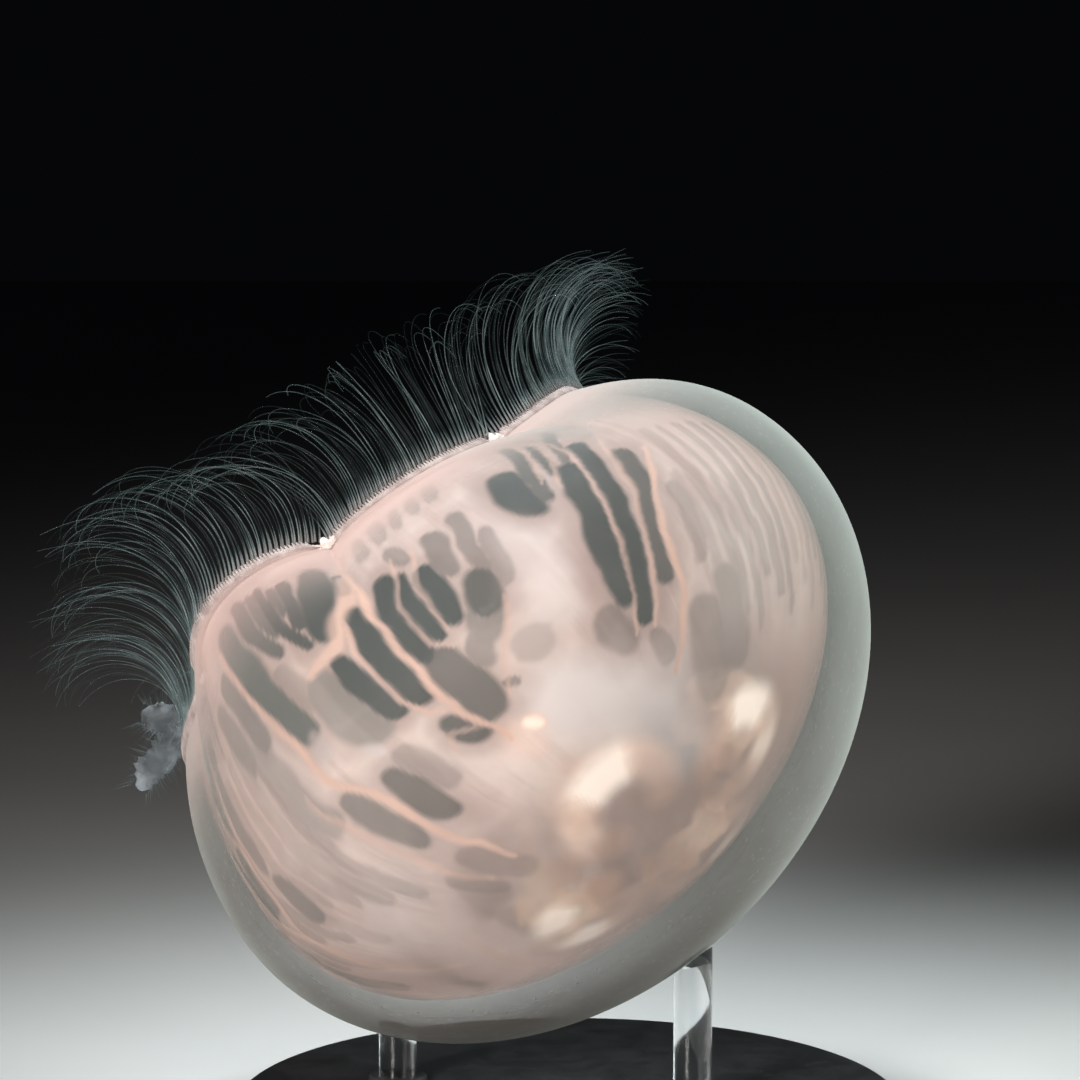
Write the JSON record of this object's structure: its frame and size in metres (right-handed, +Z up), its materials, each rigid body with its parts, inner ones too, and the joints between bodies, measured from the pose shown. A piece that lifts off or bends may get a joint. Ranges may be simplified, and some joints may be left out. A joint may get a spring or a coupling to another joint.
{
  "type": "moon jellyfish model on a display stand",
  "caption": "Life-size moon jellyfish caught in mid stroke: a clear domed bell with a fringe of fine tentacles, horseshoe gonads and frilled mouth arms, on a plain round stand.",
  "frame": {"origin": "centre of the round stand's underside, on the surface it stands on", "axes": "+Z up, +X to the right and -Y towards the viewer when the crown of the bell leans down, to the right and a little forward"},
  "size_m": [0.1361, 0.1338, 0.1393],
  "materials": {
    "gel": "wet, clear to milky gel with soft pink canals",
    "tentacle": "fine, pale blue-grey, slightly see-through",
    "sense_organ": "small opaque white beads",
    "gonad": "opaque cream with peach folds",
    "mouth": "milky, frilled",
    "stand_base": "satin dark grey",
    "stand_rod": "polished clear rod"
  },
  "bodies": {
    "root": {"bell_crown": "gel", "bell_lobe_1": "gel", "tentacles_1": "tentacle", "rhopalium_1": "sense_organ", "bell_lobe_2": "gel", "tentacles_2": "tentacle", "rhopalium_2": "sense_organ", "bell_lobe_3": "gel", "tentacles_3": "tentacle", "rhopalium_3": "sense_organ", "bell_lobe_4": "gel", "tentacles_4": "tentacle", "rhopalium_4": "sense_organ", "bell_lobe_5": "gel", "tentacles_5": "tentacle", "rhopalium_5": "sense_organ", "bell_lobe_6": "gel", "tentacles_6": "tentacle", "rhopalium_6": "sense_organ", "bell_lobe_7": "gel", "tentacles_7": "tentacle", "rhopalium_7": "sense_organ", "bell_lobe_8": "gel", "tentacles_8": "tentacle", "rhopalium_8": "sense_organ", "gonad_1": "gonad", "gonad_2": "gonad", "gonad_3": "gonad", "gonad_4": "gonad", "manubrium": "mouth", "oral_arm_1": "mouth", "oral_arm_1_tip": "mouth", "oral_arm_2": "mouth", "oral_arm_2_tip": "mouth", "oral_arm_3": "mouth", "oral_arm_3_tip": "mouth", "oral_arm_4": "mouth", "oral_arm_4_tip": "mouth", "stand_base": "stand_base", "stand_rod_1": "stand_rod", "stand_rod_2": "stand_rod"}
  },
  "joints": []
}
